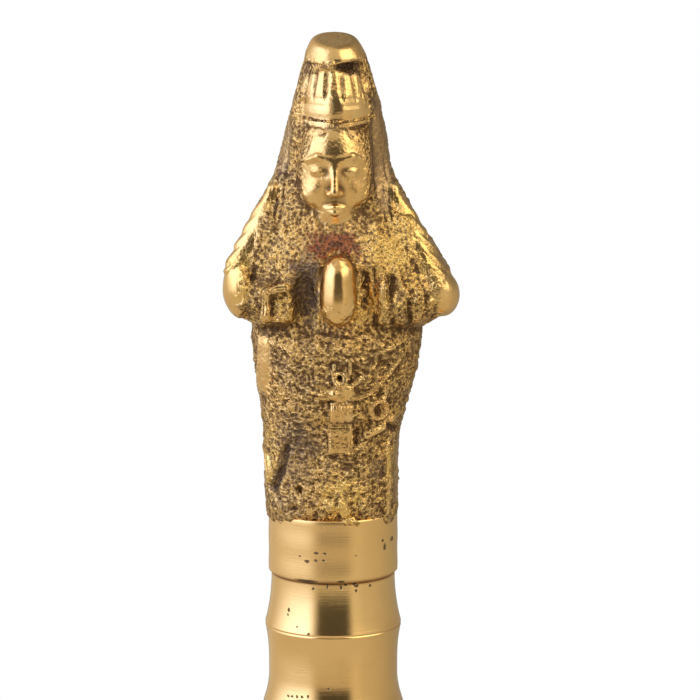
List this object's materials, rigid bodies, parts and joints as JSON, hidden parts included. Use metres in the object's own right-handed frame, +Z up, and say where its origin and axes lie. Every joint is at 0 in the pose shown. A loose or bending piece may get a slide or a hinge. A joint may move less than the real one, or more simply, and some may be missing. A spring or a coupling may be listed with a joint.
{
  "type": "puja hand bell",
  "caption": "Brass hand bell for puja: a cast praying figure on a turned grip, screwed to a flared bell with a ball clapper that hangs from a wire link.",
  "frame": {"origin": "centre of the bell's mouth, on the plane it stands on", "axes": "+Z up along the bell and its handle, the figure faces -Y, +X to the viewer's right"},
  "size_m": [0.074, 0.074, 0.1668],
  "materials": {
    "cast_brass": "rough casting, dark in its hollows and rubbed bright on its high places",
    "turned_brass": "turned and polished, with casting pits",
    "bell_brass": "turned and polished outside, dull inside",
    "fitting_brass": "plain machined, tarnished",
    "wire_brass": "drawn wire, tarnished",
    "ball_brass": "turned, marked where it strikes"
  },
  "bodies": {
    "bell": {"figure_finial": "cast_brass", "finial_stud": "fitting_brass", "handle_grip": "turned_brass", "bell_cup": "bell_brass", "crown_washer": "fitting_brass", "lock_nut": "fitting_brass", "eye_bolt": "fitting_brass"},
    "link": {"clapper_link": "wire_brass"},
    "clapper": {"clapper_rod": "wire_brass", "clapper_ball": "ball_brass"}
  },
  "joints": [
    {"name": "link_swing", "type": "hinge", "parent": "bell", "child": "link", "pos_m": [0, 0, 0.0456], "axis": [1, 0, 0], "range_deg": [-10, 10]},
    {"name": "clapper_swing", "type": "hinge", "parent": "link", "child": "clapper", "pos_m": [0, 0, 0.0404], "axis": [0, 1, 0], "range_deg": [-31, 31]}
  ]
}
